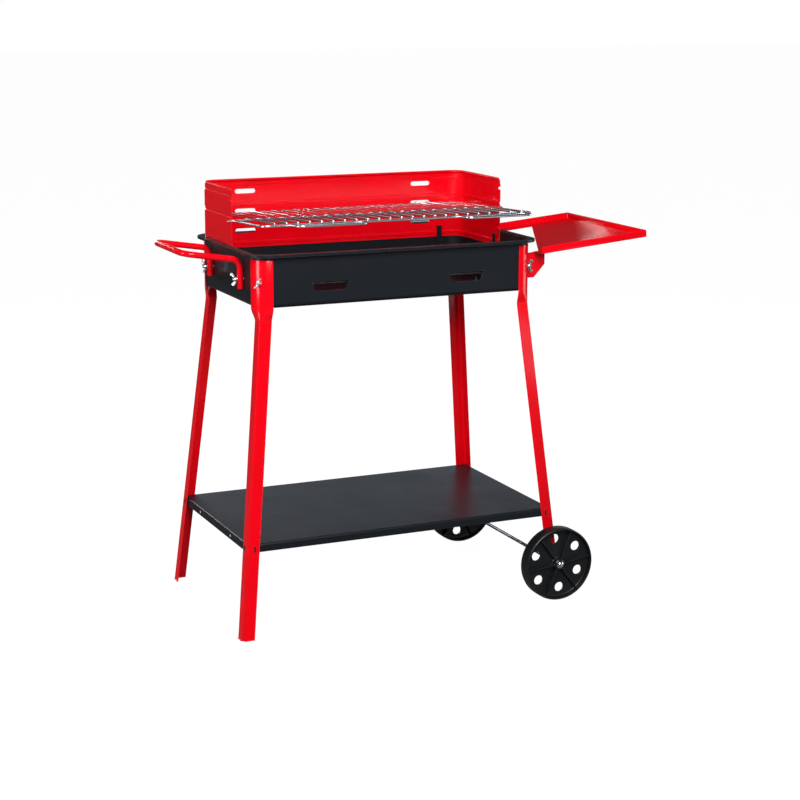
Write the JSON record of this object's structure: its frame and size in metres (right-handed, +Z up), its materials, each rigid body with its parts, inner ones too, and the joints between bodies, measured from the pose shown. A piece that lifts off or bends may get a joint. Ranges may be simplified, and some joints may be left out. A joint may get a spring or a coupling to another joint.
{
  "type": "charcoal barbecue trolley",
  "caption": "Rectangular sheet steel fire pan on splayed legs with a windshield, a removable cooking grill, a lower shelf, wheels, a push handle and a side tray.",
  "frame": {"origin": "on the ground, under the middle of the object's outline", "axes": "+X to the side tray and the wheels, -Y to the cook's side with the draught slots, +Z up"},
  "size_m": [0.9662, 0.4884, 0.84],
  "materials": {
    "red_enamel": "glossy",
    "black_enamel": "semi-gloss",
    "chrome_wire": "polished",
    "chrome_cap": "polished",
    "grate_steel": "dull",
    "zinc": "bright zinc plated",
    "axle_steel": "satin",
    "wheel_plastic": "satin"
  },
  "bodies": {
    "stand": {"firebox_pan": "black_enamel", "windshield_clips": "black_enamel", "leg_front_left": "red_enamel", "leg_front_right": "red_enamel", "leg_back_left": "red_enamel", "leg_back_right": "red_enamel", "leg_bolts": "zinc", "leg_wing_nuts": "zinc", "lower_shelf": "black_enamel", "axle": "axle_steel", "axle_washers": "zinc", "axle_caps": "chrome_cap", "side_handle": "red_enamel", "handle_bolts": "zinc", "handle_wing_nuts": "zinc", "side_tray": "red_enamel", "tray_bracket_front": "red_enamel", "tray_bracket_back": "red_enamel", "tray_rivets": "zinc", "tray_bolts": "zinc", "tray_wing_nuts": "zinc"},
    "front_wheel": {"wheel_front": "wheel_plastic"},
    "back_wheel": {"wheel_back": "wheel_plastic"},
    "windshield": {"windshield": "red_enamel"},
    "cooking_grill": {"grill_frame_wire": "chrome_wire", "grill_cross_wires": "chrome_wire", "grill_middle_wire": "chrome_wire", "grill_side_pegs": "chrome_wire", "grill_handle_loops": "chrome_wire"},
    "charcoal_grate": {"charcoal_grate_frame": "grate_steel", "charcoal_grate_rods": "grate_steel", "charcoal_grate_feet": "grate_steel"}
  },
  "joints": [
    {"name": "front_wheel_spin", "type": "hinge", "parent": "stand", "child": "front_wheel", "pos_m": [0.25893, -0.22338, 0.075], "axis": [0, 1, 0], "continuous": true},
    {"name": "back_wheel_spin", "type": "hinge", "parent": "stand", "child": "back_wheel", "pos_m": [0.25893, 0.22338, 0.075], "axis": [0, 1, 0], "continuous": true},
    {"name": "windshield_lift", "type": "slide", "parent": "stand", "child": "windshield", "axis": [0, 0, 1], "range_m": [0, 0.06]},
    {"name": "grill_draw_out", "type": "slide", "parent": "windshield", "child": "cooking_grill", "axis": [0, -0.999, 0.0454], "range_m": [0, 0.18]},
    {"name": "grate_lift", "type": "slide", "parent": "stand", "child": "charcoal_grate", "axis": [0, 0, 1], "range_m": [0, 0.06]}
  ]
}
